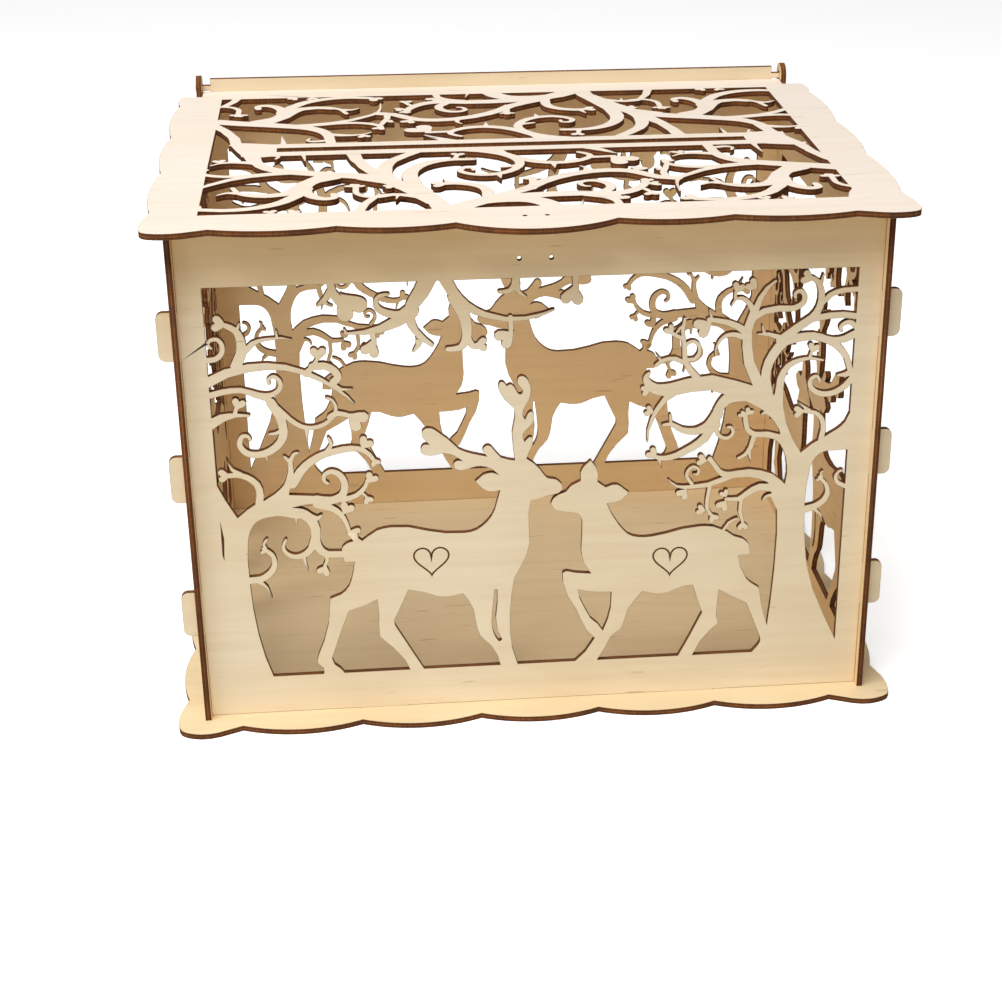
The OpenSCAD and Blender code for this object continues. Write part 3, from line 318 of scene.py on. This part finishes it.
def finished_plate(node, through):
    """A copy of a plate with both faces eased, its walls shaded smooth round their bends."""
    low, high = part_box(node)
    bm = bmesh.new()
    bm.from_mesh(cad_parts[node].data)
    bmesh.ops.remove_doubles(bm, verts=bm.verts, dist=0.001 * MM)
    scorch = bm.verts.layers.float.new("scorch")
    for vert in bm.verts:
        vert[scorch] = 1.0
    ease_face(bm, through, low[through], 1.0)
    ease_face(bm, through, high[through], -1.0)
    mesh = bpy.data.meshes.new(node + "_wood")
    bm.to_mesh(mesh)
    bm.free()
    mesh.shade_smooth()
    mesh.set_sharp_from_angle(angle=math.radians(SMOOTH_BEND))
    piece = bpy.data.objects.new(node + "_wood", mesh)
    bpy.context.scene.collection.objects.link(piece)
    return piece


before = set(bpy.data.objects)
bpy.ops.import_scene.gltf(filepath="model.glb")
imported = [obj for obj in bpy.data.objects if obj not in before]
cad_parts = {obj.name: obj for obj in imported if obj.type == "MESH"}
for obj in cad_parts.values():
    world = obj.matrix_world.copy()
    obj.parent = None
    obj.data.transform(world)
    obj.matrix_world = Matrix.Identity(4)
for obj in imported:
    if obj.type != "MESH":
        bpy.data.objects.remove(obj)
cad_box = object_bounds()

# Tones of the veneers: the pale wood, the warmer clouds in it, and its late wood.
# The lid's tone is partly the wood's own and partly painted light: paler and whiter, as its brightly
# lit top looks.
PALE_BIRCH_AND_PAINTED_LIGHT = ((0.86, 0.76, 0.66), (0.84, 0.73, 0.61), (0.72, 0.57, 0.41))
BIRCH = ((0.86, 0.72, 0.50), (0.82, 0.67, 0.44), (0.66, 0.48, 0.27))
# The back and sides' tone is partly the wood's own and partly painted shade: warmer and more
# saturated, as the shadowed inside of the box looks.
WARM_BIRCH_AND_PAINTED_SHADE = ((0.88, 0.65, 0.37), (0.84, 0.60, 0.32), (0.68, 0.44, 0.21))
YELLOW_BIRCH = ((0.85, 0.69, 0.43), (0.83, 0.65, 0.39), (0.67, 0.48, 0.26))

# Each plate: its body, its slot, the axis through its layers, the axis of its grain, its tone.
PLATES = {
    "base_plate": ("box", "base_ply", Z, X, YELLOW_BIRCH),
    "front_panel": ("box", "front_ply", Y, X, BIRCH),
    # The back and sides' warmer tone is partly painted shade.
    "back_panel": ("box", "back_ply", Y, X, WARM_BIRCH_AND_PAINTED_SHADE),
    "left_side_panel": ("box", "side_ply", X, Y, WARM_BIRCH_AND_PAINTED_SHADE),
    "right_side_panel": ("box", "side_ply", X, Y, WARM_BIRCH_AND_PAINTED_SHADE),
    # The lid's paler tone is partly painted light.
    "lid_plate": ("lid", "lid_ply", Z, X, PALE_BIRCH_AND_PAINTED_LIGHT),
    "hinge_bar": ("lid", "hinge_ply", Y, X, BIRCH),
}

for node, (body, slot, through, along, tone) in PLATES.items():
    low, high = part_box(node)
    piece = finished_plate(node, through)
    thickness = high[through] - low[through]
    # Only the front gets the painted shade beneath the lid's overhang.
    lid_shade_top = high[Z] if node == "front_panel" else None
    ply = birch_ply("birch_" + node, along, through, low[through], thickness, tone, lid_shade_top)
    piece.data.materials.append(ply)
    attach(piece, body)
    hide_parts(node)


def pale_floor():
    """A plain white floor that the box stands on."""
    mesh = bpy.data.meshes.new("floor")
    half = FLOOR_SIZE / 2
    corners = [(-half, -half, 0), (half, -half, 0), (half, half, 0), (-half, half, 0)]
    mesh.from_pydata(corners, [], [(0, 1, 2, 3)])
    floor = bpy.data.objects.new("floor", mesh)
    floor.location.z = cad_box[0][Z]
    bpy.context.scene.collection.objects.link(floor)
    finish = Finish("white_paper")
    place = finish.add("ShaderNodeTexCoord", {}, {}, output="Object")
    tooth = finish.noise(place, 300.0)
    shown = finish.add("ShaderNodeLightPath", {}, {}, output="Is Camera Ray")
    colour = finish.mix(shown, (FLOOR_BOUNCE,) * 3, (FLOOR_WHITE,) * 3)
    normal = finish.add("ShaderNodeBump", {}, {"Height": tooth, "Strength": 0.05})
    paper = finish.close(colour, 0.9, normal, 0.1)
    surface = paper.node_tree.nodes["Principled BSDF"]
    glow = shown * FLOOR_GLOW
    paper.node_tree.links.new(glow.socket, surface.inputs["Emission Strength"])
    surface.inputs["Emission Color"].default_value = (1.0, 1.0, 1.0, 1.0)
    mesh.materials.append(paper)


def soft_light():
    """An even sky, seen as pure white though it lights more softly, and the lamps."""
    world = bpy.data.worlds.new("studio")
    world.use_nodes = True
    tree = world.node_tree
    background = tree.nodes["Background"]
    background.inputs["Color"].default_value = (1.0, 1.0, 1.0, 1.0)
    shown = tree.nodes.new("ShaderNodeLightPath")
    strength = tree.nodes.new("ShaderNodeMapRange")
    strength.inputs["To Min"].default_value = SKY_STRENGTH
    strength.inputs["To Max"].default_value = SKY_SHOWN
    tree.links.new(shown.outputs["Is Camera Ray"], strength.inputs["Value"])
    tree.links.new(strength.outputs["Result"], background.inputs["Strength"])
    bpy.context.scene.world = world
    for name, (place, target, size, power) in LAMPS.items():
        lamp = bpy.data.lights.new(name, "AREA")
        lamp.shape = "RECTANGLE"
        lamp.size, lamp.size_y = size
        lamp.energy = power
        holder = bpy.data.objects.new(name, lamp)
        holder.location = place
        aim = Vector(target) - Vector(place)
        holder.rotation_euler = aim.to_track_quat("-Z", "Y").to_euler()
        holder.visible_camera = False
        bpy.context.scene.collection.objects.link(holder)


def camera():
    lens = bpy.data.cameras.new("camera")
    lens.lens = CAMERA_LENS
    lens.sensor_width = 36.0
    lens.shift_x, lens.shift_y = CAMERA_SHIFT
    lens.clip_end = 50.0
    holder = bpy.data.objects.new("camera", lens)
    holder.location = CAMERA_PLACE
    holder.rotation_euler = Euler([math.radians(angle) for angle in CAMERA_TURN])
    bpy.context.scene.collection.objects.link(holder)
    bpy.context.scene.camera = holder


pale_floor()
soft_light()
camera()
bpy.context.scene.view_settings.view_transform = "Standard"
